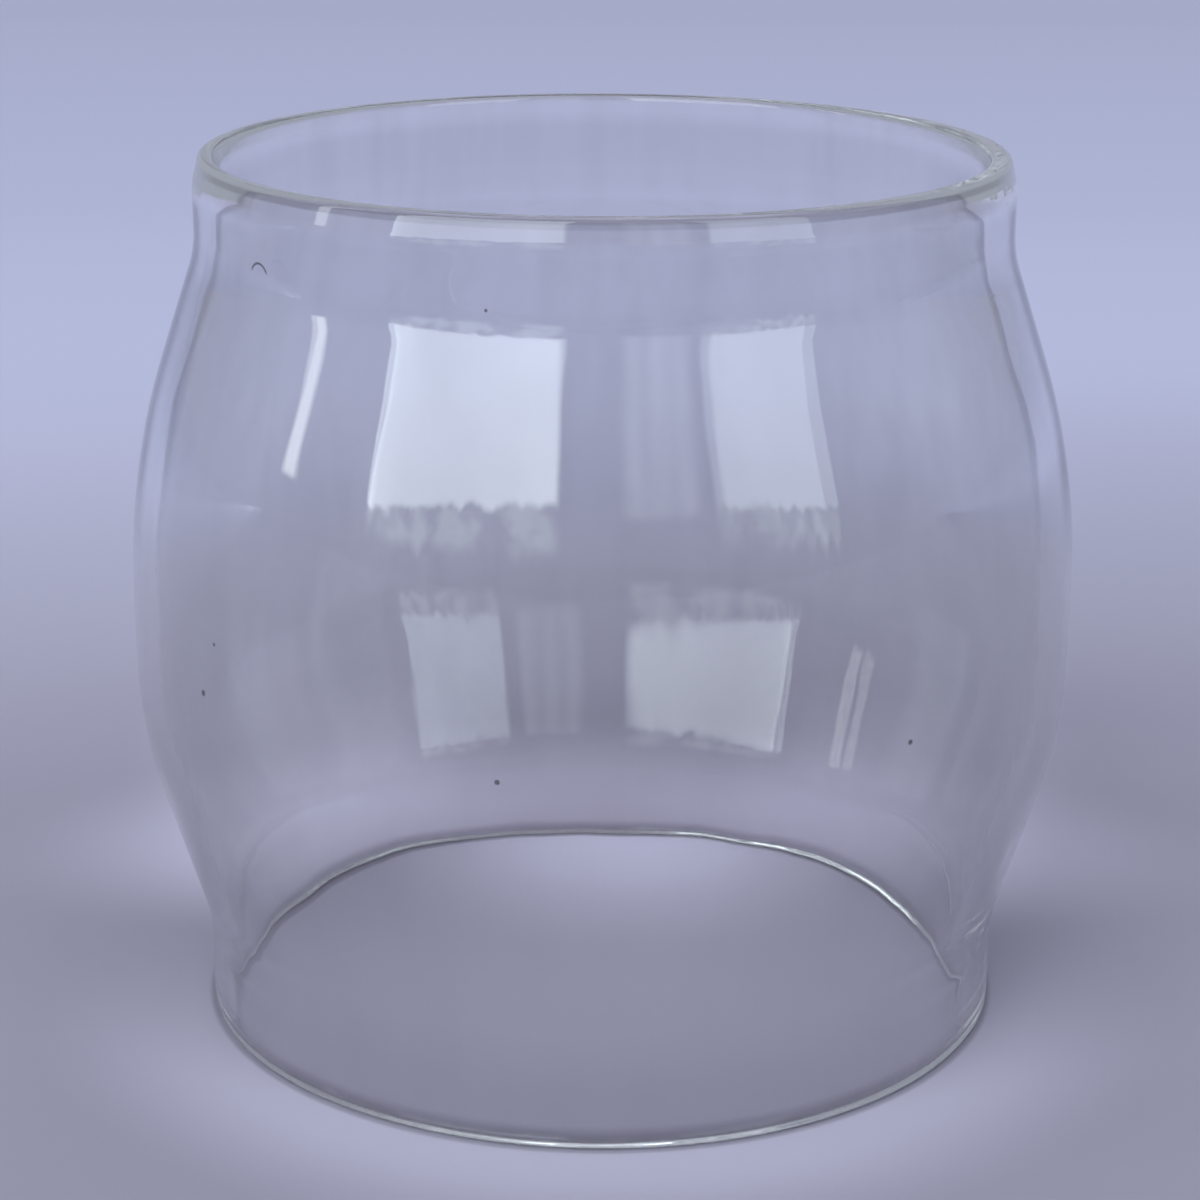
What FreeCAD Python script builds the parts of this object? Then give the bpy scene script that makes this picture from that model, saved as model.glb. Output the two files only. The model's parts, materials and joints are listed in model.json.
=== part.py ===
"""Lantern glass globe: one blown piece of clear glass, open at both ends, barrel-shaped between two collars.

Millimetres, +Z up. The origin is the centre of the base rim, on the surface that the globe stands on,
and +Z is the axis that the whole glass turns about. The outer face is drawn as a few straight runs with
rounded corners, and the inner face follows it one wall thickness further in.
"""

import FreeCAD, Part
import math
import os

# Overall sizes
globe_height = 111.0
barrel_diameter = 120.0
wall_thickness = 3.2

# Straight rings at both ends, which a lantern locates the glass by
base_collar_diameter = 103.2
base_collar_height = 12.4
top_collar_diameter = 101.8
top_collar_height = 11.8

# Height that each sloping shoulder takes between its collar and the barrel
base_shoulder_rise = 26.7
top_shoulder_rise = 27.1

# Radii of the outer face, from the base up
base_collar_blend = 32.0
base_belly_radius = 47.5
top_belly_radius = 80.0
top_collar_blend = 14.0

# Lip of the top rim: how far down it starts, and how far its outer face has come in at the very top
top_lip_height = 3.4
top_lip_lean = 0.9
top_lip_blend = 8.0

# Fire-polished edges of both rims, which leave a flat land between them
rim_rounding = 0.9

# A rounding never takes more than this share of the wall, or of the shorter run beside its corner
rim_rounding_share = 0.4
corner_reach_share = 0.48

base_radius = base_collar_diameter / 2
barrel_radius = barrel_diameter / 2
top_radius = top_collar_diameter / 2
rim_radius = min(rim_rounding, (wall_thickness - top_lip_lean) * rim_rounding_share)
quarter_turn = math.pi / 2


def point(radius, height):
    """A point of the outline, in the half plane that is turned about the axis."""
    return FreeCAD.Vector(radius, 0, height)


def step(angle, length):
    """A step of the given length in the half plane, at an angle above the level direction away from the axis."""
    return point(length * math.cos(angle), length * math.sin(angle))


def outward(direction):
    """The direction away from the axis, square to a run that climbs along the given direction."""
    return FreeCAD.Vector(direction.z, 0, -direction.x)


def shared_corners():
    """Sharp corners that both faces follow, from the base up, each with the radius that rounds it outside."""
    shoulder_foot = base_collar_height
    barrel_foot = shoulder_foot + base_shoulder_rise
    shoulder_top = globe_height - top_collar_height
    barrel_top = shoulder_top - top_shoulder_rise
    return [
        (point(base_radius, 0), None),
        (point(base_radius, shoulder_foot), base_collar_blend),
        (point(barrel_radius, barrel_foot), base_belly_radius),
        (point(barrel_radius, barrel_top), top_belly_radius),
        (point(top_radius, shoulder_top), top_collar_blend),
    ]


def outer_corners():
    """Corners of the outer face: those that both faces follow, and the lip below the top rim."""
    return shared_corners() + [
        (point(top_radius, globe_height - top_lip_height), top_lip_blend),
        (point(top_radius - top_lip_lean, globe_height), None),
    ]


def inner_corners():
    """Corners that the inner face follows: it stays upright inside the lip."""
    return shared_corners() + [(point(top_radius, globe_height), None)]


def corner_arc(before, corner, after, blend, depth):
    """Start, middle and end of the arc that rounds a corner of the outer face, moved inwards by depth."""
    arriving = (corner - before).normalize()
    leaving = (after - corner).normalize()
    between = (arriving + leaving).normalize()
    half_turn = arriving.getAngle(leaving) / 2
    shorter_run = min((corner - before).Length, (after - corner).Length)
    reach = min(blend * math.tan(half_turn), shorter_run * corner_reach_share)
    radius = reach / math.tan(half_turn)
    hollow = 1 if arriving.cross(leaving).y > 0 else -1
    start = corner - arriving * reach
    end = corner + leaving * reach
    centre = start + outward(arriving) * radius * hollow
    middle = centre - outward(between) * radius * hollow
    return (
        start - outward(arriving) * depth,
        middle - outward(between) * depth,
        end - outward(leaving) * depth,
    )


def wall_face(corners, depth, top_end):
    """Edges of one face of the wall, at a depth inside its corners, from the base rim to the top rounding."""
    here = point(base_radius - depth, rim_radius)
    edges = []
    for below, (corner, blend), above in zip(corners, corners[1:], corners[2:]):
        start, middle, end = corner_arc(below[0], corner, above[0], blend, depth)
        edges.append(Part.makeLine(here, start))
        edges.append(Part.Arc(start, middle, end).toShape())
        here = end
    edges.append(Part.makeLine(here, top_end))
    return edges


def arc_about(centre, radius, first_angle, last_angle):
    """An arc about a centre in the half plane, from one angle to another."""
    middle_angle = (first_angle + last_angle) / 2
    ends = [centre + step(angle, radius) for angle in (first_angle, middle_angle, last_angle)]
    return Part.Arc(*ends).toShape()


def rim_edges(outer_centre, inner_centre, lean, outwards):
    """Both rounded edges of a rim and its flat land; outwards is 1 for the top rim and -1 for the base.

    The outer face reaches its rounding leaning in by an angle, and the inner face reaches its own upright.
    """
    top = step(outwards * quarter_turn, rim_radius)
    return [
        arc_about(outer_centre, rim_radius, outwards * lean, outwards * quarter_turn),
        Part.makeLine(outer_centre + top, inner_centre + top),
        arc_about(inner_centre, rim_radius, outwards * quarter_turn, outwards * 2 * quarter_turn),
    ]


def base_rim():
    """Edges of the rim that the globe stands on."""
    outer_centre = point(base_radius - rim_radius, rim_radius)
    inner_centre = point(base_radius - wall_thickness + rim_radius, rim_radius)
    return rim_edges(outer_centre, inner_centre, 0, -1)


def top_rim(lean):
    """Edges of the top rim, whose outer rounding touches the leaning face of the lip and the flat land."""
    lip_share = (top_lip_height - rim_radius) / top_lip_height
    lip_radius = top_radius - top_lip_lean * lip_share
    outer_centre = point(lip_radius - rim_radius / math.cos(lean), globe_height - rim_radius)
    inner_centre = point(top_radius - wall_thickness + rim_radius, globe_height - rim_radius)
    return outer_centre + step(lean, rim_radius), rim_edges(outer_centre, inner_centre, lean, 1)


def glass_globe():
    """The whole glass: the section of its wall, turned once about the axis."""
    outer_end, top_edges = top_rim(math.atan2(top_lip_lean, top_lip_height))
    inner_end = point(top_radius - wall_thickness, globe_height - rim_radius)
    outer_face = wall_face(outer_corners(), 0, outer_end)
    inner_face = wall_face(inner_corners(), wall_thickness, inner_end)
    edges = base_rim() + outer_face + top_edges + inner_face
    section = Part.Face(Part.Wire(Part.__sortEdges__(edges)))
    glass = section.revolve(point(0, 0), point(0, globe_height), 360)
    return Part.Solid(glass) if glass.ShapeType == "Shell" else glass


def main():
    os.makedirs("parts", exist_ok=True)
    glass = glass_globe()
    glass.exportStep("parts/glass_globe.step")
    box = glass.optimalBoundingBox(False, False)
    print("glass_globe", glass.ShapeType, "valid", glass.isValid(), "volume mm3", round(glass.Volume, 1))
    print("box mm", [round(side, 3) for side in (box.XLength, box.YLength, box.ZLength)])


main()
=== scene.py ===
"""Lantern glass globe, finished: one blown piece of clear glass with fire-polished rims.

Metres, +Z up. The origin is the centre of the base rim. The wall's section is drawn in the XZ half plane.
"""

import json
import math

import bpy
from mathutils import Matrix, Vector


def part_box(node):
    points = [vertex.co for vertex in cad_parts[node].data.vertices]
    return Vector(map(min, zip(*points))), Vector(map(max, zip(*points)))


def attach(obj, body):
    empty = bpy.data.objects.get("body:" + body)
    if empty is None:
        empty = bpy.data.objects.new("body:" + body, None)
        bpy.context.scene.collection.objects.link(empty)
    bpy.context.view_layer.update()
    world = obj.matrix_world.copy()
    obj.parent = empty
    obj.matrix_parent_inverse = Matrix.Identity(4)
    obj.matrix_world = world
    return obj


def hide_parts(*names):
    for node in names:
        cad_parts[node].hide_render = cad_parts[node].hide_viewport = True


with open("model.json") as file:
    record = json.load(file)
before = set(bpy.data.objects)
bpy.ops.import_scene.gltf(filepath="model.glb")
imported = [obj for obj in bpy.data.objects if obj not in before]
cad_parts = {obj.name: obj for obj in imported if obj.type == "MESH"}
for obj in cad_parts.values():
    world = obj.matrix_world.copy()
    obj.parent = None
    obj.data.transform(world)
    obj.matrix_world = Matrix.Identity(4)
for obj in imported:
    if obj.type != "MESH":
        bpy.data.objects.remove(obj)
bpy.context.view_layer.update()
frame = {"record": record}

MM = 0.001

# Sizes that the frame gives
_, globe_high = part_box("glass_globe")
GLOBE_HEIGHT = globe_high.z
BARREL_RADIUS = globe_high.x
mount_sizes = {mount["name"]: mount["dims"] for mount in frame["record"]["mounts"]}
BASE_RADIUS = mount_sizes["base_collar"]["r_mm"] * MM
TOP_RADIUS = mount_sizes["top_collar"]["r_mm"] * MM
WALL = (mount_sizes["base_collar"]["r_mm"] - mount_sizes["base_bore"]["r_mm"]) * MM

# Corners of the outer face: heights above the base rim or below the top rim, and the radii that round them
BASE_KINK_HEIGHT = 12.4 * MM
BARREL_FOOT_HEIGHT = 39.1 * MM
BARREL_TOP_DROP = 38.9 * MM
TOP_KINK_DROP = 11.8 * MM
BASE_KINK_BLEND = 22.0 * MM
LOWER_BELLY_BLEND = 47.5 * MM
UPPER_BELLY_BLEND = 80.0 * MM
TOP_KINK_BLEND = 14.0 * MM
LIP_HEIGHT = 3.4 * MM
LIP_LEAN = 0.9 * MM
LIP_BLEND = 8.0 * MM
RIM_ROUNDING = 0.9 * MM

# The blown barrel bends more softly than arcs do: where it is evened out, and how often
SOFT_BARREL_START = 20.0 * MM
SOFT_BARREL_TOP_DROP = 17.0 * MM
SOFT_BARREL_PASSES = 8
SOFT_FOOT_START = 23.0 * MM
SOFT_FOOT_END = 58.0 * MM
SOFT_FOOT_PASSES = 12
SMOOTHING = 0.5

# Unevenness of the blown wall
BORE_SHIFT = 0.38 * MM
ROUNDNESS_SIZE = 45 * MM
ROUNDNESS_DEPTH = 0.5 * MM
WAVE_SIZE = 11 * MM
WAVE_DEPTH = 0.07 * MM
WAVE_STRETCH = 2.0
WAVE_SIZES_APART = 10
# Where the noise of each set of waves is read, so that no two are alike
ROUNDNESS_PLACE = (0.2, 0, 0)
OUTER_WAVE_PLACE = (0, 0.1, 0)
INNER_WAVE_PLACE = (0, 0.4, 0.1)

# Fineness of the modelled wall
ROUNDING_STEPS = 8
RUN_PIECE = 1.5 * MM
TURN_STEPS = 360
MERGE_DISTANCE = 0.01 * MM


def deselect_all():
    bpy.ops.object.select_all(action="DESELECT")


def edit(piece):
    """Opens a piece in edit mode, with nothing selected."""
    deselect_all()
    piece.select_set(True)
    bpy.context.view_layer.objects.active = piece
    bpy.ops.object.mode_set(mode="EDIT")
    bpy.ops.mesh.select_mode(type="VERT")
    bpy.ops.mesh.select_all(action="DESELECT")


def leave_edit():
    bpy.ops.object.mode_set(mode="OBJECT")


def reselect(piece, wanted):
    """In edit mode, selects the vertices whose place passes a test."""
    bpy.ops.mesh.select_all(action="DESELECT")
    leave_edit()
    for vertex in piece.data.vertices:
        vertex.select = wanted(vertex.co)
    for edge in piece.data.edges:
        edge.select = all(piece.data.vertices[i].select for i in edge.vertices)
    for face in piece.data.polygons:
        face.select = all(piece.data.vertices[i].select for i in face.vertices)
    bpy.ops.object.mode_set(mode="EDIT")


def near(place):
    """A test for vertices that lie at a place."""
    return lambda co: (co - place).length < MERGE_DISTANCE


def section_point(radius, height):
    return Vector((radius, 0, height))


def parallel_corner(before, corner, after, depth):
    """A corner of the inner face: both runs beside an outer corner, moved inwards by depth."""
    arriving = (corner - before).normalized()
    leaving = (after - corner).normalized()
    inward = Vector((-arriving.z, 0, arriving.x)) + Vector((-leaving.z, 0, leaving.x))
    return corner + inward.normalized() * depth / math.cos(arriving.angle(leaving) / 2)


def section_corners():
    """Sharp corners of the wall's section, once round, each with the radius that rounds it."""
    base = section_point(BASE_RADIUS, 0)
    kinks = [
        section_point(BASE_RADIUS, BASE_KINK_HEIGHT),
        section_point(BARREL_RADIUS, BARREL_FOOT_HEIGHT),
        section_point(BARREL_RADIUS, GLOBE_HEIGHT - BARREL_TOP_DROP),
        section_point(TOP_RADIUS, GLOBE_HEIGHT - TOP_KINK_DROP),
    ]
    blends = [BASE_KINK_BLEND, LOWER_BELLY_BLEND, UPPER_BELLY_BLEND, TOP_KINK_BLEND]
    top = section_point(TOP_RADIUS, GLOBE_HEIGHT)
    line = [base] + kinks + [top]
    inner = [parallel_corner(*line[i - 1 : i + 2], WALL) for i in range(1, 5)]
    inner_blends = [
        BASE_KINK_BLEND + WALL,
        LOWER_BELLY_BLEND - WALL,
        UPPER_BELLY_BLEND - WALL,
        TOP_KINK_BLEND + WALL,
    ]
    corners = [(base, RIM_ROUNDING)]
    corners += list(zip(kinks, blends))
    corners += [
        (section_point(TOP_RADIUS, GLOBE_HEIGHT - LIP_HEIGHT), LIP_BLEND),
        (section_point(TOP_RADIUS - LIP_LEAN, GLOBE_HEIGHT), RIM_ROUNDING),
        (section_point(TOP_RADIUS - WALL, GLOBE_HEIGHT), RIM_ROUNDING),
    ]
    corners += list(zip(inner, inner_blends))[::-1]
    corners.append((section_point(BASE_RADIUS - WALL, 0), RIM_ROUNDING))
    return corners


def draw_section(corners):
    """The closed outline of the wall's section, extruded corner by corner from one point."""
    deselect_all()
    bpy.ops.mesh.primitive_plane_add(size=RIM_ROUNDING, location=corners[0][0])
    piece = bpy.context.object
    bpy.ops.object.transform_apply(location=True, rotation=True, scale=True)
    bpy.ops.object.mode_set(mode="EDIT")
    bpy.ops.mesh.select_mode(type="VERT")
    bpy.ops.mesh.select_all(action="SELECT")
    bpy.ops.mesh.merge(type="CENTER")
    here = corners[0][0]
    for place, _ in corners[1:]:
        bpy.ops.mesh.extrude_region_move(TRANSFORM_OT_translate={"value": place - here})
        here = place
    reselect(piece, lambda co: near(corners[0][0])(co) or near(corners[-1][0])(co))
    bpy.ops.mesh.edge_face_add()
    leave_edit()
    return piece


def round_corners(piece, corners):
    """Bevels each corner of the section to its own radius."""
    edit(piece)
    for i, (place, radius) in enumerate(corners):
        before = corners[i - 1][0]
        after = corners[(i + 1) % len(corners)][0]
        turn = (place - before).angle(after - place)
        reselect(piece, near(place))
        bpy.ops.mesh.bevel(
            offset_type="OFFSET",
            offset=radius * math.tan(turn / 2),
            segments=max(ROUNDING_STEPS, round(radius * turn / RUN_PIECE)),
            affect="VERTICES",
            clamp_overlap=False,
        )
    leave_edit()


def divide_runs(piece):
    """Splits the long straight runs, so that the turned wall can take its waves."""
    edit(piece)
    lengths = {}
    for edge in piece.data.edges:
        a, b = (piece.data.vertices[i].co for i in edge.vertices)
        lengths[edge.index] = (a - b).length
    most = math.ceil(max(lengths.values()) / RUN_PIECE)
    for pieces in range(most, 1, -1):
        ends = []
        for edge in piece.data.edges:
            a, b = (piece.data.vertices[i].co.copy() for i in edge.vertices)
            if math.ceil((a - b).length / RUN_PIECE) == pieces:
                ends.append((a, b))
        for a, b in ends:
            reselect(piece, lambda co: near(a)(co) or near(b)(co))
            bpy.ops.mesh.subdivide(number_cuts=pieces - 1)
    leave_edit()


def soften_barrel(piece):
    """Evens out the section between the collars, so that no arc ends abruptly."""
    edit(piece)
    reselect(piece, lambda co: SOFT_BARREL_START < co.z < GLOBE_HEIGHT - SOFT_BARREL_TOP_DROP)
    bpy.ops.mesh.vertices_smooth(factor=SMOOTHING, repeat=SOFT_BARREL_PASSES)
    reselect(piece, lambda co: SOFT_FOOT_START < co.z < SOFT_FOOT_END)
    bpy.ops.mesh.vertices_smooth(factor=SMOOTHING, repeat=SOFT_FOOT_PASSES)
    leave_edit()


def apply_modifier(piece, kind, name, **settings):
    """Adds a modifier to a piece and applies it."""
    deselect_all()
    piece.select_set(True)
    bpy.context.view_layer.objects.active = piece
    modifier = piece.modifiers.new(name, kind)
    for setting, value in settings.items():
        setattr(modifier, setting, value)
    bpy.ops.object.modifier_apply(modifier=name)


def turn_section(piece):
    """Turns the section once about the axis, closes the seam and points the faces outwards."""
    edit(piece)
    bpy.ops.mesh.select_all(action="SELECT")
    bpy.ops.mesh.delete(type="ONLY_FACE")
    leave_edit()
    apply_modifier(
        piece,
        "SCREW",
        "turn",
        axis="Z",
        angle=2 * math.pi,
        steps=TURN_STEPS,
        render_steps=TURN_STEPS,
        use_merge_vertices=True,
        merge_threshold=MERGE_DISTANCE,
    )
    edit(piece)
    bpy.ops.mesh.select_all(action="SELECT")
    bpy.ops.mesh.remove_doubles(threshold=MERGE_DISTANCE)
    bpy.ops.mesh.normals_make_consistent(inside=False)
    leave_edit()


def section_radius(height):
    """Radius halfway through the wall, near enough to tell its two faces apart."""
    kinks = [(0, BASE_RADIUS), (BASE_KINK_HEIGHT, BASE_RADIUS), (BARREL_FOOT_HEIGHT, BARREL_RADIUS)]
    kinks += [(GLOBE_HEIGHT - BARREL_TOP_DROP, BARREL_RADIUS), (GLOBE_HEIGHT - TOP_KINK_DROP, TOP_RADIUS)]
    kinks += [(GLOBE_HEIGHT, TOP_RADIUS)]
    for (low, low_radius), (high, high_radius) in zip(kinks, kinks[1:]):
        if height <= high:
            break
    share = min(1.0, max(0.0, (height - low) / (high - low)))
    return low_radius + (high_radius - low_radius) * share - WALL / 2


def is_inner(place):
    """True for a point of the inner face."""
    return math.hypot(place.x, place.y) < section_radius(place.z)


def name_faces_of_wall(piece):
    """Vertex groups for the outer and the inner face of the wall."""
    for name, wanted in (("outer_face", lambda co: not is_inner(co)), ("inner_face", is_inner)):
        edit(piece)
        reselect(piece, wanted)
        piece.vertex_groups.new(name=name)
        bpy.ops.object.vertex_group_assign()
        leave_edit()


def shift_bore(piece):
    """Moves the inner face to one side: the real wall is thinner at the left than at the right."""
    edit(piece)
    reselect(piece, is_inner)
    bpy.ops.transform.translate(value=(-BORE_SHIFT, 0, 0))
    leave_edit()


def wave(piece, name, group, size, depth, place):
    """Presses soft level waves into a face, from a noise that is drawn out along the axis."""
    bpy.ops.object.empty_add(location=place)
    guide = bpy.context.object
    guide.scale = (1.0, 1.0, WAVE_STRETCH)
    bpy.context.view_layer.update()
    for direction in ("X", "Y"):
        noise = bpy.data.textures.new(name + direction, "CLOUDS")
        noise.noise_scale = size
        noise.noise_depth = 1
        apply_modifier(
            piece,
            "DISPLACE",
            name + direction,
            texture=noise,
            texture_coords="OBJECT",
            texture_coords_object=guide,
            direction=direction,
            vertex_group=group,
            strength=depth,
            mid_level=0.5,
        )
        guide.location.z += WAVE_SIZES_APART * size
        bpy.context.view_layer.update()
    bpy.data.objects.remove(guide)


def make_globe():
    corners = section_corners()
    piece = draw_section(corners)
    piece.name = "blown_glass_globe"
    piece.data.name = "blown_glass_globe"
    round_corners(piece, corners)
    divide_runs(piece)
    soften_barrel(piece)
    turn_section(piece)
    name_faces_of_wall(piece)
    shift_bore(piece)
    wave(piece, "roundness", "", ROUNDNESS_SIZE, ROUNDNESS_DEPTH, ROUNDNESS_PLACE)
    wave(piece, "outer_waves", "outer_face", WAVE_SIZE, WAVE_DEPTH, OUTER_WAVE_PLACE)
    wave(piece, "inner_waves", "inner_face", WAVE_SIZE, WAVE_DEPTH, INNER_WAVE_PLACE)
    deselect_all()
    piece.select_set(True)
    bpy.ops.object.shade_smooth()
    return piece


# Camera, as the photo's view was measured
PHOTO_SIDE = 1200
FOCAL_PIXELS = 3002.3
SENSOR = 36.0
CAMERA_BACK = 371.75 * MM
CAMERA_HEIGHT = 167.88 * MM
CAMERA_DIP = math.radians(17.268)
CAMERA_SWING = math.radians(0.111)
CAMERA_ROLL = math.radians(-0.232)
CLIP_NEAR = 0.01
CLIP_FAR = 50.0

# Sockets of a Mix node that take and give colours
MIX_COLOUR_SLOTS = (6, 7)
MIXED_COLOUR_SLOT = 2


def make_camera():
    data = bpy.data.cameras.new("camera")
    data.sensor_width = SENSOR
    data.lens = FOCAL_PIXELS / PHOTO_SIDE * SENSOR
    data.clip_start = CLIP_NEAR
    data.clip_end = CLIP_FAR
    camera = bpy.data.objects.new("camera", data)
    bpy.context.scene.collection.objects.link(camera)
    camera.location = (0, -CAMERA_BACK, CAMERA_HEIGHT)
    camera.rotation_euler = (math.pi / 2 - CAMERA_DIP, CAMERA_ROLL, CAMERA_SWING)
    camera.rotation_mode = "XYZ"
    bpy.context.scene.camera = camera


def node(tree, kind, label, **inputs):
    """A shader node with a name and plain values on its sockets."""
    made = tree.nodes.new(kind)
    made.name = made.label = label
    for socket, value in inputs.items():
        made.inputs[socket].default_value = value
    return made


def maths(tree, operation, label, *values):
    """A Math node; each value is a number or an output socket."""
    made = tree.nodes.new("ShaderNodeMath")
    made.operation = operation
    made.name = made.label = label
    for slot, value in enumerate(values):
        if isinstance(value, bpy.types.NodeSocket):
            tree.links.new(value, made.inputs[slot])
        else:
            made.inputs[slot].default_value = value
    return made.outputs[0]


def fade(tree, label, value, start, end, low=0.0, high=1.0):
    """A smooth change from low to high while a value goes from start to end."""
    made = tree.nodes.new("ShaderNodeMapRange")
    made.interpolation_type = "SMOOTHSTEP"
    made.name = made.label = label
    tree.links.new(value, made.inputs["Value"])
    made.inputs["From Min"].default_value = start
    made.inputs["From Max"].default_value = end
    made.inputs["To Min"].default_value = low
    made.inputs["To Max"].default_value = high
    return made.outputs["Result"]


# The studio: light round the stage by direction, dark towards the camera and pale behind the object
DARK_LIGHT = (0.05, 0.05, 0.06, 1.0)
DARK_HORIZON_LIGHT = (0.10, 0.10, 0.12, 1.0)
SIDE_LIGHT = (0.27, 0.27, 0.32, 1.0)
BACKDROP_LIGHT = (0.46, 0.47, 0.56, 1.0)
BACKDROP_HORIZON_LIGHT = (0.42, 0.43, 0.54, 1.0)
OVERHEAD_LIGHT = (1.05, 1.10, 1.25, 1.0)
FOLDED_PANEL_LIGHT = (0.95, 1.0, 1.12, 1.0)
SILL_LIGHT = (1.25, 1.38, 1.36, 1.0)
LEFT_PANEL_LIGHT = (3.3, 3.65, 3.85, 1.0)
RIGHT_PANEL_LIGHT = (2.4, 2.7, 2.95, 1.0)
SLIVER_LIGHT = (3.7, 3.9, 3.9, 1.0)
SIDE_START = math.radians(38)
SIDE_END = math.radians(62)
BACKDROP_START = math.radians(65)
BACKDROP_END = math.radians(100)
HORIZON_TOP_START = math.radians(6)
HORIZON_TOP_END = math.radians(13)
OVERHEAD_START = math.radians(50)
OVERHEAD_END = math.radians(64)
LIGHT_MAP_SIZE = 2048

# Soft panels on the wall behind the camera: left, right, low and high, as shares of the distance to that wall
LEFT_PANEL_SHARES = (-1.62, -0.175, 0.26, 1.9)
RIGHT_PANEL_SHARES = (0.535, 1.62, 0.26, 1.9)
PANEL_EDGE_SHARE = 0.02
LEFT_PANEL_SIDE_GAIN = 1.2
LEFT_PANEL_SIDE_START_SHARE = 0.2
LEFT_PANEL_EDGE_GAIN = 0.45
LEFT_PANEL_EDGE_END_SHARE = 0.8

# The sill: the uneven lower ends of both panels, and the dim cloudy light below them
WALL_NEAREST = 0.0001
SILL_WANDER_SHARE = 0.15
SILL_WANDER_SCALE = 7.0
SILL_START_SHARE = 0.10
SILL_EDGE_SHARE = 0.035
SILL_SHAPE_SHARE = 0.22
SILL_SHAPE_SCALE = 5.0
SILL_CLOUD_SCALE = 5.0
SILL_CLOUD_START = 0.38
SILL_CLOUD_END = 0.62
SILL_CLOUD_LOW = 0.15

# Panels by direction: left and right azimuths from the camera's side, low and high angles above the level
SLIVER_PANEL = (math.radians(-84.5), math.radians(-80.5), math.radians(6.5), math.radians(50))
FOLDED_PANEL = (math.radians(5), math.radians(23), math.radians(12), math.radians(56))
SLIVER_EDGE = math.radians(0.5)
FOLDED_PANEL_EDGE = math.radians(1.5)
FOLDS = 55.0
FOLD_DEPTH = 0.25


def soft_box(tree, label, across, up, limits, edge):
    """1 inside a soft-edged rectangle, 0 outside."""
    left, right, low, high = limits
    sides = maths(
        tree,
        "MULTIPLY",
        label + " sides",
        fade(tree, label + " left", across, left - edge, left + edge),
        fade(tree, label + " right", across, right - edge, right + edge, 1.0, 0.0),
    )
    ends = maths(
        tree,
        "MULTIPLY",
        label + " ends",
        fade(tree, label + " low", up, low - edge, low + edge),
        fade(tree, label + " high", up, high - edge, high + edge, 1.0, 0.0),
    )
    return maths(tree, "MULTIPLY", label, sides, ends)


def mix(tree, label, factor, first, second):
    """A colour mix; factor is a socket, and each colour is a socket or a plain colour."""
    made = tree.nodes.new("ShaderNodeMix")
    made.data_type = "RGBA"
    made.name = made.label = label
    tree.links.new(factor, made.inputs[0])
    for slot, colour in zip(MIX_COLOUR_SLOTS, (first, second)):
        if isinstance(colour, bpy.types.NodeSocket):
            tree.links.new(colour, made.inputs[slot])
        else:
            made.inputs[slot].default_value = colour
    return made.outputs[MIXED_COLOUR_SLOT]


def scale_colour(tree, label, colour, factor):
    """A plain colour times a socket."""
    made = tree.nodes.new("ShaderNodeVectorMath")
    made.operation = "SCALE"
    made.name = made.label = label
    made.inputs[0].default_value = colour[:3]
    tree.links.new(factor, made.inputs["Scale"])
    return made.outputs[0]


def centred(tree, label, noise, depth):
    """A noise scaled to a depth, about nought."""
    return maths(tree, "MULTIPLY_ADD", label, noise.outputs["Fac"], depth, -depth / 2)


def sill_mask(tree, across, rise):
    """The dim uneven light below the left and the right panel."""
    shape = node(tree, "ShaderNodeTexNoise", "shape of the sill", Scale=SILL_SHAPE_SCALE, Detail=2.0)
    shape.noise_dimensions = "1D"
    tree.links.new(across, shape.inputs["W"])
    up = maths(tree, "ADD", "above the sill", rise, centred(tree, "lift", shape, SILL_SHAPE_SHARE))
    masks = []
    for name, panel in (("left", LEFT_PANEL_SHARES), ("right", RIGHT_PANEL_SHARES)):
        limits = (panel[0], panel[1], SILL_START_SHARE, panel[2] + 2 * PANEL_EDGE_SHARE)
        masks.append(soft_box(tree, name + " sill", across, up, limits, SILL_EDGE_SHARE))
    both = maths(tree, "MAXIMUM", "both sills", *masks)
    flat = node(tree, "ShaderNodeCombineXYZ", "place on the wall")
    tree.links.new(across, flat.inputs[0])
    tree.links.new(rise, flat.inputs[1])
    clouds = node(tree, "ShaderNodeTexNoise", "clouds below the panels", Scale=SILL_CLOUD_SCALE, Detail=3.0)
    clouds.noise_dimensions = "2D"
    tree.links.new(flat.outputs[0], clouds.inputs["Vector"])
    cloud = clouds.outputs["Fac"]
    cloudy = fade(tree, "cloudy", cloud, SILL_CLOUD_START, SILL_CLOUD_END, SILL_CLOUD_LOW, 1.0)
    return maths(tree, "MULTIPLY", "cloudy sill", both, cloudy)


def surround_light(tree, side, height):
    """The light before the panels: dark towards the camera, pale behind the object and overhead."""
    behind = fade(tree, "behind the object", side, BACKDROP_START, BACKDROP_END)
    low = fade(tree, "low", height, HORIZON_TOP_START, HORIZON_TOP_END, 1.0, 0.0)
    beside = fade(tree, "beside the camera", side, SIDE_START, SIDE_END)
    near_camera = mix(tree, "camera side", beside, DARK_LIGHT, SIDE_LIGHT)
    surround = mix(tree, "surround", behind, near_camera, BACKDROP_LIGHT)
    horizon = mix(tree, "horizon", behind, DARK_HORIZON_LIGHT, BACKDROP_HORIZON_LIGHT)
    colour = mix(tree, "surround and horizon", low, surround, horizon)
    overhead = fade(tree, "overhead", height, OVERHEAD_START, OVERHEAD_END)
    return mix(tree, "overhead light", overhead, colour, OVERHEAD_LIGHT)


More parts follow.
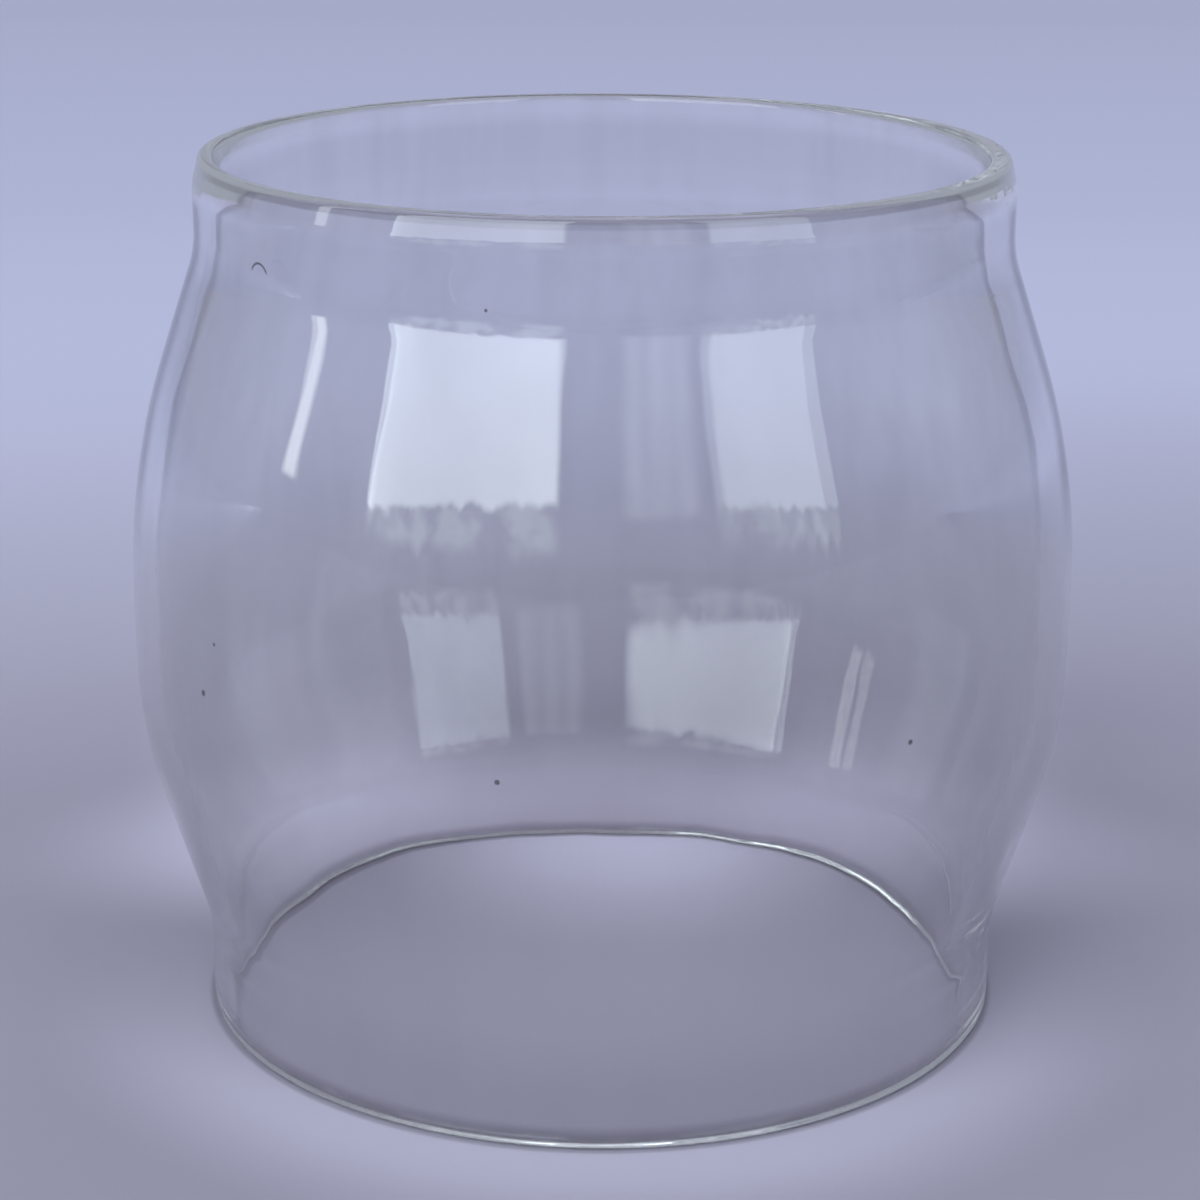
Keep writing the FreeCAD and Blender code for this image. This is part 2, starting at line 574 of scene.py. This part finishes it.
def add_folded_panel(tree, azimuth, height, colour):
    """Adds the dim panel between the two bright ones, with upright folds."""
    fold_angle = maths(tree, "MULTIPLY", "fold angle", azimuth, FOLDS)
    fold = maths(tree, "SINE", "fold", fold_angle)
    fold = maths(tree, "MULTIPLY_ADD", "folds", fold, FOLD_DEPTH, 1.0 - FOLD_DEPTH)
    folded = soft_box(tree, "folded panel", azimuth, height, FOLDED_PANEL, FOLDED_PANEL_EDGE)
    folded = maths(tree, "MULTIPLY", "panel in folds", folded, fold)
    return mix(tree, "folded panel light", folded, colour, FOLDED_PANEL_LIGHT)


def left_panel_gain(tree, across):
    """How much brighter the left panel is towards its sides, and most at its left edge."""
    middle = (LEFT_PANEL_SHARES[0] + LEFT_PANEL_SHARES[1]) / 2
    half = (LEFT_PANEL_SHARES[1] - LEFT_PANEL_SHARES[0]) / 2
    from_middle = maths(tree, "SUBTRACT", "from middle", across, middle)
    off_middle = maths(tree, "ABSOLUTE", "off the middle", from_middle)
    side_start = LEFT_PANEL_SIDE_START_SHARE * half
    edge_end = -LEFT_PANEL_EDGE_END_SHARE * half
    gain = fade(tree, "brighter sides", off_middle, side_start, half, 1.0, LEFT_PANEL_SIDE_GAIN)
    edge_gain = fade(tree, "bright edge", from_middle, -half, edge_end, LEFT_PANEL_EDGE_GAIN, 0.0)
    return maths(tree, "ADD", "gain with edge", gain, edge_gain)


def add_wall_panels(tree, across, rise, colour):
    """Adds the left and the right panel, with the sill's dim light below them."""
    wander = node(tree, "ShaderNodeTexNoise", "uneven sill", Scale=SILL_WANDER_SCALE, Detail=3.0)
    wander.noise_dimensions = "1D"
    tree.links.new(across, wander.inputs["W"])
    up = maths(tree, "ADD", "up", rise, centred(tree, "sill height", wander, SILL_WANDER_SHARE))
    sill = sill_mask(tree, across, rise)
    colour = mix(tree, "sill light", sill, colour, SILL_LIGHT)
    left = soft_box(tree, "left panel", across, up, LEFT_PANEL_SHARES, PANEL_EDGE_SHARE)
    glow = scale_colour(tree, "left glow", LEFT_PANEL_LIGHT, left_panel_gain(tree, across))
    colour = mix(tree, "left light", left, colour, glow)
    right = soft_box(tree, "right panel", across, up, RIGHT_PANEL_SHARES, PANEL_EDGE_SHARE)
    return mix(tree, "right light", right, colour, RIGHT_PANEL_LIGHT)


def make_studio_light():
    world = bpy.data.worlds.new("studio")
    bpy.context.scene.world = world
    world.use_nodes = True
    tree = world.node_tree
    tree.nodes.clear()
    place = node(tree, "ShaderNodeTexCoord", "direction")
    parts = node(tree, "ShaderNodeSeparateXYZ", "parts of direction")
    tree.links.new(place.outputs["Generated"], parts.inputs[0])
    x, y, z = parts.outputs
    height = maths(tree, "ARCSINE", "height", z)
    back = maths(tree, "MULTIPLY", "towards the camera", y, -1.0)
    azimuth = maths(tree, "ARCTAN2", "azimuth", x, back)
    wall = maths(tree, "MAXIMUM", "distance to the wall", back, WALL_NEAREST)
    across = maths(tree, "DIVIDE", "across", x, wall)
    rise = maths(tree, "DIVIDE", "rise", z, wall)
    side = maths(tree, "ABSOLUTE", "away from the camera", azimuth)
    colour = surround_light(tree, side, height)
    colour = add_folded_panel(tree, azimuth, height, colour)
    colour = add_wall_panels(tree, across, rise, colour)
    sliver = soft_box(tree, "sliver", azimuth, height, SLIVER_PANEL, SLIVER_EDGE)
    colour = mix(tree, "sliver light", sliver, colour, SLIVER_LIGHT)
    background = node(tree, "ShaderNodeBackground", "background", Strength=1.0)
    tree.links.new(colour, background.inputs["Color"])
    output = node(tree, "ShaderNodeOutputWorld", "output")
    tree.links.new(background.outputs[0], output.inputs["Surface"])
    world.cycles.sampling_method = "MANUAL"
    world.cycles.sample_map_resolution = LIGHT_MAP_SIZE


# The floor, with its colours from the front of the stage to the back by distance behind the globe's axis:
# painted light, darker at the front and brightest some way behind the globe
FLOOR_SIDES = 96
FLOOR_RADIUS = 9.0
FLOOR_DROP = 0.1 * MM
FLOOR_LEVEL = 0.955
FLOOR_REACH = 1.2
PAINTED_FLOOR_LIGHT_STOPS = (
    (-0.60, (0.24, 0.22, 0.27)),
    (-0.20, (0.315, 0.295, 0.365)),
    (0.06, (0.335, 0.315, 0.39)),
    (0.13, (0.385, 0.37, 0.455)),
    (0.20, (0.41, 0.395, 0.49)),
    (0.28, (0.45, 0.445, 0.57)),
    (0.38, (0.495, 0.50, 0.645)),
    (0.60, (0.445, 0.45, 0.585)),
    (1.10, (0.395, 0.395, 0.51)),
)
# Painted light on the floor where the glass would throw it: inside the base, in front of the rim, behind it
# and in soft lobes
INSIDE_GAIN = 0.68
CRESCENT_GAIN = 1.30
CRESCENT_PLACE = (4 * MM, 52 * MM, 0)
CRESCENT_SPREAD = (1 / (46 * MM), 1 / (46 * MM), 1.0)
CRESCENT_START_SHARE = 0.1
FRONT_GAIN = 0.62
FRONT_REACH = 26 * MM
BACK_GAIN = 1.30
BACK_START = 54 * MM
BACK_END = 108 * MM
LOBE_START_SHARE = 0.05
# Each lobe's middle and reach in millimetres, and its gain
LOBES = (
    ((-40, 88), (26, 42), 0.36),
    ((45, 86), (26, 40), 0.36),
    ((-62, 108), (18, 60), 0.22),
    ((64, 96), (18, 50), 0.16),
)
# Where glows fade, by how far to the back a place lies, as a share of its distance from the axis
LEAST_DISTANCE = 1 * MM
FRONT_START_SHARE = -1.0
FRONT_END_SHARE = 0.4
BACK_START_SHARE = 0.2
BACK_END_SHARE = 0.85
# Painted light and shadow on the floor: a little brighter at the left behind the globe, and a painted shadow
# right under the base rim
PAINTED_LIGHT_TILT = 0.045 / (115 * MM)
TILT_START = 40 * MM
TILT_FULL = 110 * MM
TILT_FADE = 260 * MM
TILT_END = 380 * MM
RIM_SHADE = 0.32
RIM_SHADE_REACH = 0.8 * MM


def floor_colour_with_painted_light(tree, place):
    """The floor's colour from front to back, with painted light: darker at the front, brightest some way
    behind the globe.
    """
    ramp = node(tree, "ShaderNodeValToRGB", "front to back")
    parts = node(tree, "ShaderNodeSeparateXYZ", "parts of place")
    tree.links.new(place, parts.inputs[0])
    share = node(tree, "ShaderNodeMapRange", "share of reach")
    tree.links.new(parts.outputs[1], share.inputs["Value"])
    share.inputs["From Min"].default_value = -FLOOR_REACH
    share.inputs["From Max"].default_value = FLOOR_REACH
    tree.links.new(share.outputs[0], ramp.inputs[0])
    ramp.color_ramp.interpolation = "B_SPLINE"
    stops = ramp.color_ramp.elements
    while len(stops) < len(PAINTED_FLOOR_LIGHT_STOPS):
        stops.new(0.5)
    for stop, (distance, colour) in zip(stops, PAINTED_FLOOR_LIGHT_STOPS):
        stop.position = (distance + FLOOR_REACH) / (2 * FLOOR_REACH)
        stop.color = (*colour, 1.0)
    return ramp.outputs[0]


def spot(tree, label, place, middle, spread, start, gain):
    """A soft oval of painted light on the floor: gain inside the share start of its reach, 0 past its reach.
    """
    aside = node(tree, "ShaderNodeVectorMath", label + " place")
    aside.operation = "SUBTRACT"
    aside.inputs[1].default_value = middle
    tree.links.new(place, aside.inputs[0])
    scaled = node(tree, "ShaderNodeVectorMath", label + " size")
    scaled.operation = "MULTIPLY"
    scaled.inputs[1].default_value = spread
    tree.links.new(aside.outputs[0], scaled.inputs[0])
    reach = node(tree, "ShaderNodeVectorMath", label + " reach")
    reach.operation = "LENGTH"
    tree.links.new(scaled.outputs[0], reach.inputs[0])
    return fade(tree, label, reach.outputs["Value"], start, 1.0, gain, 0.0)


def painted_side_tilt(tree, aside, back):
    """A factor of painted light that makes the floor behind the globe brighter at the left than at the right.
    """
    starts = fade(tree, "tilt starts", back, TILT_START, TILT_FULL)
    ends = fade(tree, "tilt ends", back, TILT_FADE, TILT_END, -PAINTED_LIGHT_TILT, 0.0)
    slope = maths(tree, "MULTIPLY", "tilt", starts, ends)
    return maths(tree, "MULTIPLY_ADD", "tilt factor", slope, aside, 1.0)


def rim_shade(tree, radius):
    """A factor of painted shadow that darkens the narrow ring of floor under the base rim."""
    middle = BASE_RADIUS - WALL / 2
    off = maths(tree, "SUBTRACT", "from the rim", radius, middle)
    off = maths(tree, "ABSOLUTE", "off the rim", off)
    reach = WALL / 2 + RIM_SHADE_REACH
    return fade(tree, "rim shade", off, WALL / 2, reach, 1.0 - RIM_SHADE, 1.0)


def glow_inside(tree, place, radius):
    """The floor's painted glow inside the base: even, with a crescent towards the back."""
    bore = BASE_RADIUS - WALL
    inside = fade(tree, "inside", radius, bore, BASE_RADIUS, INSIDE_GAIN, 0.0)
    start = CRESCENT_START_SHARE
    crescent = spot(tree, "crescent", place, CRESCENT_PLACE, CRESCENT_SPREAD, start, CRESCENT_GAIN)
    held_in = fade(tree, "held in", radius, bore, BASE_RADIUS, 1.0, 0.0)
    crescent = maths(tree, "MULTIPLY", "crescent inside", crescent, held_in)
    return maths(tree, "ADD", "glow inside", inside, crescent)


def add_glow_round_rim(tree, radius, backness, total):
    """Adds the floor's painted glow in front of the base rim and behind it."""
    ring = maths(
        tree,
        "MULTIPLY",
        "ring",
        fade(tree, "ring start", radius, BASE_RADIUS - WALL, BASE_RADIUS),
        fade(tree, "ring end", radius, BASE_RADIUS, BASE_RADIUS + FRONT_REACH, FRONT_GAIN, 0.0),
    )
    front = fade(tree, "front", backness, FRONT_START_SHARE, FRONT_END_SHARE, 1.0, 0.0)
    ring = maths(tree, "MULTIPLY", "front ring", ring, front)
    behind_rim = maths(
        tree,
        "MULTIPLY",
        "behind the rim",
        fade(tree, "back start", radius, BASE_RADIUS, BACK_START),
        fade(tree, "back end", radius, BACK_START, BACK_END, BACK_GAIN, 0.0),
    )
    back = fade(tree, "back", backness, BACK_START_SHARE, BACK_END_SHARE)
    behind_rim = maths(tree, "MULTIPLY", "back ring", behind_rim, back)
    total = maths(tree, "ADD", "glow inside and in front", total, ring)
    return maths(tree, "ADD", "glow round the rim", total, behind_rim)


def add_lobes(tree, place, total):
    """Adds the painted soft lobes of light that reach out from the base at the back."""
    for i, (middle, reach, gain) in enumerate(LOBES):
        middle = (middle[0] * MM, middle[1] * MM, 0)
        spread = (1 / (reach[0] * MM), 1 / (reach[1] * MM), 1.0)
        lobe = spot(tree, f"lobe {i}", place, middle, spread, LOBE_START_SHARE, gain)
        total = maths(tree, "ADD", f"glow and lobe {i}", total, lobe)
    return total


def painted_floor_glow(tree, place):
    """How much brighter the floor is painted where the glass would gather light on it."""
    distance = node(tree, "ShaderNodeVectorMath", "from the axis")
    distance.operation = "LENGTH"
    tree.links.new(place, distance.inputs[0])
    radius = distance.outputs["Value"]
    parts = node(tree, "ShaderNodeSeparateXYZ", "sides")
    tree.links.new(place, parts.inputs[0])
    some_distance = maths(tree, "MAXIMUM", "some", radius, LEAST_DISTANCE)
    backness = maths(tree, "DIVIDE", "backness", parts.outputs[1], some_distance)
    total = glow_inside(tree, place, radius)
    total = add_glow_round_rim(tree, radius, backness, total)
    total = add_lobes(tree, place, total)
    total = maths(tree, "ADD", "floor gain", total, 1.0)
    tilt = painted_side_tilt(tree, parts.outputs[0], parts.outputs[1])
    total = maths(tree, "MULTIPLY", "tilted gain", total, tilt)
    total = maths(tree, "MULTIPLY", "shaded gain", total, rim_shade(tree, radius))
    return maths(tree, "MULTIPLY", "levelled gain", total, FLOOR_LEVEL)


def make_floor():
    deselect_all()
    bpy.ops.mesh.primitive_circle_add(vertices=FLOOR_SIDES, radius=FLOOR_RADIUS, fill_type="NGON")
    bpy.ops.transform.translate(value=(0, 0, -FLOOR_DROP))
    bpy.ops.object.transform_apply(location=True, rotation=True, scale=True)
    floor = bpy.context.object
    floor.name = "floor"
    material = bpy.data.materials.new("pale_floor")
    material.use_nodes = True
    tree = material.node_tree
    tree.nodes.clear()
    place = node(tree, "ShaderNodeTexCoord", "place").outputs["Object"]
    lit = node(tree, "ShaderNodeVectorMath", "lit colour")
    lit.operation = "SCALE"
    # The floor's colour carries painted light from front to back, scaled by the painted glow and shadow
    tree.links.new(floor_colour_with_painted_light(tree, place), lit.inputs[0])
    tree.links.new(painted_floor_glow(tree, place), lit.inputs["Scale"])
    shader = node(tree, "ShaderNodeBsdfDiffuse", "paper")
    tree.links.new(lit.outputs[0], shader.inputs["Color"])
    output = node(tree, "ShaderNodeOutputMaterial", "output")
    tree.links.new(shader.outputs[0], output.inputs["Surface"])
    floor.data.materials.append(material)


# Light deep in the wall: how many bounces a path is followed for, and the glow that stands for the rest
LIGHT_BOUNCES = 24
DEEP_BOUNCE = 15.5
DEEP_GLOW_COLOUR = (0.84, 0.89, 1.06, 1.0)
DEEP_GLOW = 0.039

# Finish of the glass, and the shade painted on it
GLASS_TINT = (0.93, 0.97, 0.955, 1.0)
GLASS_DENSITY = 6.0
GLASS_IOR = 1.5
# The glass's colour: lighter above the shoulder, darker below it
UPPER_GLASS_COLOUR = (0.93, 0.93, 0.93, 1.0)
LOWER_GLASS_COLOUR = (0.86, 0.86, 0.86, 1.0)
DUSTY_COLOUR = (0.83, 0.83, 0.83, 1.0)
TONE_CHANGE_LOW = 50 * MM
TONE_CHANGE_HIGH = 76 * MM
STREAK_SCALE = 160.0
STREAK_SQUEEZE = 0.15
DUST_START = 0.45
DUST_END = 0.75
DUST_SHARE = 0.6
RIPPLE_STRENGTH = 0.12
RIPPLE_DEPTH = 0.1 * MM
# Painted shade: a near-black tint mixed into the glass's colour where the shoulder and the top collar are
# seen edge-on, with weaker painted shade beside it, and on the foot and a ring below the lip
PAINTED_SHADE_COLOUR = (0.07, 0.07, 0.08, 1.0)
EDGE_SHADE_FACING_START = 0.76
EDGE_SHADE_FACING_END = 0.88
EDGE_SHADE_LOW = 58 * MM
EDGE_SHADE_HIGH = 75 * MM
EDGE_SHADE_RIM_DROP = 6 * MM
SOFT_SHADE_FACING_START = 0.33
SOFT_SHADE_FACING_END = 0.66
SOFT_SHADE_SHARE = 0.17
# Painted shade on the foot, darkest at the base rim
FOOT_SHADE_START = 0.9 * MM
FOOT_SHADE_END = 2.4 * MM
FOOT_SHADE_SHARE = 0.5
SPECK_COLOUR = (0.10, 0.09, 0.09, 1.0)
# Painted shade: a thin dark ring below the mouth, which fades at the ends and in the middle of the front
LIP_LINE_DROP = 0.9 * MM
LIP_LINE_HALF = 0.25 * MM
LIP_LINE_FADE = 0.5 * MM
LIP_LINE_SHARE = 0.55
LIP_ENDS_START_SHARE = 0.22
LIP_ENDS_END_SHARE = 0.42
LIP_MIDDLE_START_SHARE = 0.75
LIP_MIDDLE_SHARE = 0.5
# A curl of lint: the part above a cut of a thin ring on the outer face
LINT_PLACE = (-39.4 * MM, -32.2 * MM, 100.8 * MM)
LINT_RADIUS = 1.7 * MM
LINT_CUT = 0.75 * MM
LINT_WIDTH = 0.2 * MM
SPECK_CORE_SHARE = 0.7
SPECK_EDGE_SHARE = 1.2
# Specks on the outer face, each with its place and radius in millimetres
SPECKS = (
    ((-47.0, -37.3, 52.2), 0.42),
    ((-11.6, -58.9, 49.3), 0.34),
    ((-12.8, -49.3, 100.7), 0.22),
    ((35.4, -48.5, 50.5), 0.34),
    ((-55.8, -21.8, 62.5), 0.30),
    ((-45.3, -39.4, 58.9), 0.28),
    ((41.0, 38.0, 70.0), 0.30),
    ((-20.0, 52.0, 35.0), 0.26),
)


def lint_mask(tree, place):
    """1 on the curl of lint near the mouth: the upper part of a thin ring."""
    gap = node(tree, "ShaderNodeVectorMath", "from the curl")
    gap.operation = "DISTANCE"
    tree.links.new(place, gap.inputs[0])
    gap.inputs[1].default_value = LINT_PLACE
    off = maths(tree, "SUBTRACT", "off the curl", gap.outputs["Value"], LINT_RADIUS)
    off = maths(tree, "ABSOLUTE", "off the line", off)
    thin = fade(tree, "thin curl", off, 0.5 * LINT_WIDTH, LINT_WIDTH, 1.0, 0.0)
    parts = node(tree, "ShaderNodeSeparateXYZ", "height on the curl")
    tree.links.new(place, parts.inputs[0])
    cut = LINT_PLACE[2] + LINT_CUT
    upper = fade(tree, "upper curl", parts.outputs[2], cut - LINT_WIDTH, cut + LINT_WIDTH)
    return maths(tree, "MULTIPLY", "curl", thin, upper)


def speck_mask(tree, place):
    """1 on the specks that are stuck to the outer face."""
    mask = None
    for i, (middle, radius) in enumerate(SPECKS):
        gap = node(tree, "ShaderNodeVectorMath", f"from speck {i}")
        gap.operation = "DISTANCE"
        tree.links.new(place, gap.inputs[0])
        gap.inputs[1].default_value = [part * MM for part in middle]
        core = SPECK_CORE_SHARE * radius * MM
        edge = SPECK_EDGE_SHARE * radius * MM
        speck = fade(tree, f"speck {i}", gap.outputs["Value"], core, edge, 1.0, 0.0)
        mask = speck if mask is None else maths(tree, "MAXIMUM", f"specks to {i}", mask, speck)
    return maths(tree, "MAXIMUM", "specks and lint", mask, lint_mask(tree, place))


def edge_shade_mask(tree, place):
    """1 where painted shade lies on the shoulder and the top collar seen edge-on, with a weaker painted shade
    beside it.
    """
    weight = node(tree, "ShaderNodeLayerWeight", "how edge-on", Blend=0.5)
    edge_on = fade(tree, "film edge-on", weight.outputs["Facing"], EDGE_SHADE_FACING_START, EDGE_SHADE_FACING_END)
    soft_shade = fade(tree, "soft_shade", weight.outputs["Facing"], SOFT_SHADE_FACING_START, SOFT_SHADE_FACING_END, 0.0, SOFT_SHADE_SHARE)
    edge_on = maths(tree, "MAXIMUM", "film and haze", edge_on, soft_shade)
    parts = node(tree, "ShaderNodeSeparateXYZ", "height on the glass")
    tree.links.new(place, parts.inputs[0])
    amount = fade(tree, "film amount", parts.outputs[2], EDGE_SHADE_LOW, EDGE_SHADE_HIGH)
    rim_start = GLOBE_HEIGHT - EDGE_SHADE_RIM_DROP
    unshaded_rim = fade(tree, "clean rim", parts.outputs[2], rim_start, GLOBE_HEIGHT - LIP_HEIGHT, 1.0, 0.0)
    amount = maths(tree, "MULTIPLY", "film below the rim", amount, unshaded_rim)
    return maths(tree, "MULTIPLY", "edge_shade", edge_on, amount)


def lip_shade_line(tree, parts):
    """A thin ring of painted shade below the mouth, strongest at the left and the right of the front."""
    below = maths(tree, "SUBTRACT", "below the lip", parts.outputs[2], GLOBE_HEIGHT - LIP_LINE_DROP)
    below = maths(tree, "ABSOLUTE", "off the lip line", below)
    ring = fade(tree, "lip ring", below, LIP_LINE_HALF, LIP_LINE_FADE, LIP_LINE_SHARE, 0.0)
    front = maths(tree, "MULTIPLY", "share of the front", parts.outputs[1], -1.0 / TOP_RADIUS)
    ends = fade(tree, "pale ends", front, LIP_ENDS_START_SHARE, LIP_ENDS_END_SHARE)
    middle = fade(tree, "weaker middle", front, LIP_MIDDLE_START_SHARE, 1.0, 1.0, LIP_MIDDLE_SHARE)
    ring = maths(tree, "MULTIPLY", "ring off the ends", ring, ends)
    return maths(tree, "MULTIPLY", "lip line", ring, middle)


def glass_colour(tree, place, streaks):
    """The glass's colour: lighter above and darker below, with dust, specks and lint on it, and painted shade
    on the foot, on a ring below the lip and where the glass is seen edge-on.
    """
    dust = fade(tree, "dust", streaks, DUST_START, DUST_END, 0.0, DUST_SHARE)
    parts = node(tree, "ShaderNodeSeparateXYZ", "height of darkening")
    tree.links.new(place, parts.inputs[0])
    # The glass is darker below the shoulder and lighter above it
    lighter = fade(tree, "clean shoulder", parts.outputs[2], TONE_CHANGE_LOW, TONE_CHANGE_HIGH)
    colour = mix(tree, "darkening on glass", lighter, LOWER_GLASS_COLOUR, UPPER_GLASS_COLOUR)
    colour = mix(tree, "dust on glass", dust, colour, DUSTY_COLOUR)
    # Painted shade on the foot, darkest at the base rim
    foot = fade(tree, "darkened foot", parts.outputs[2], FOOT_SHADE_START, FOOT_SHADE_END, FOOT_SHADE_SHARE, 0.0)
    colour = mix(tree, "painted_shade on the foot", foot, colour, PAINTED_SHADE_COLOUR)
    # Painted shade on a thin ring below the lip
    colour = mix(tree, "line on the lip", lip_shade_line(tree, parts), colour, PAINTED_SHADE_COLOUR)
    # Painted shade where the shoulder and the top collar are seen edge-on
    colour = mix(tree, "film on glass", edge_shade_mask(tree, place), colour, PAINTED_SHADE_COLOUR)
    return mix(tree, "specks on glass", speck_mask(tree, place), colour, SPECK_COLOUR)


def add_deep_glow(tree, shader):
    """Makes the glass give a little light to paths deep in its wall."""
    depth = node(tree, "ShaderNodeLightPath", "path")
    deep = maths(tree, "GREATER_THAN", "deep in the wall", depth.outputs["Ray Depth"], DEEP_BOUNCE)
    shader.inputs["Emission Color"].default_value = DEEP_GLOW_COLOUR
    glow = maths(tree, "MULTIPLY", "deep glow", deep, DEEP_GLOW)
    tree.links.new(glow, shader.inputs["Emission Strength"])


def clear_glass():
    material = bpy.data.materials.new("clear_glass")
    material.use_nodes = True
    tree = material.node_tree
    tree.nodes.clear()
    place = node(tree, "ShaderNodeTexCoord", "place").outputs["Object"]
    streak_place = node(tree, "ShaderNodeMapping", "drawn out upwards")
    streak_place.inputs["Scale"].default_value = (1.0, 1.0, STREAK_SQUEEZE)
    tree.links.new(place, streak_place.inputs["Vector"])
    streaks = node(tree, "ShaderNodeTexNoise", "streaks", Scale=STREAK_SCALE, Detail=2.0, Roughness=0.6)
    tree.links.new(streak_place.outputs[0], streaks.inputs["Vector"])
    ripples = node(tree, "ShaderNodeBump", "ripples", Strength=RIPPLE_STRENGTH, Distance=RIPPLE_DEPTH)
    tree.links.new(streaks.outputs["Fac"], ripples.inputs["Height"])
    shader = node(tree, "ShaderNodeBsdfPrincipled", "glass")
    colour = glass_colour(tree, place, streaks.outputs["Fac"])
    tree.links.new(colour, shader.inputs["Base Color"])
    tree.links.new(ripples.outputs[0], shader.inputs["Normal"])
    shader.inputs["Roughness"].default_value = 0.0
    shader.inputs["IOR"].default_value = GLASS_IOR
    shader.inputs["Transmission Weight"].default_value = 1.0
    add_deep_glow(tree, shader)
    material.cycles.emission_sampling = "NONE"
    body = node(tree, "ShaderNodeVolumeAbsorption", "tint", Color=GLASS_TINT, Density=GLASS_DENSITY)
    output = node(tree, "ShaderNodeOutputMaterial", "output")
    tree.links.new(shader.outputs[0], output.inputs["Surface"])
    tree.links.new(body.outputs[0], output.inputs["Volume"])
    return material


def main():
    scene = bpy.context.scene
    scene.view_settings.view_transform = "Standard"
    scene.cycles.use_denoising = True
    scene.cycles.max_bounces = LIGHT_BOUNCES
    scene.cycles.glossy_bounces = LIGHT_BOUNCES
    scene.cycles.transmission_bounces = LIGHT_BOUNCES
    make_camera()
    make_studio_light()
    make_floor()
    globe = make_globe()
    globe.data.materials.clear()
    globe.data.materials.append(clear_glass())
    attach(globe, "root")
    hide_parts("glass_globe")


main()
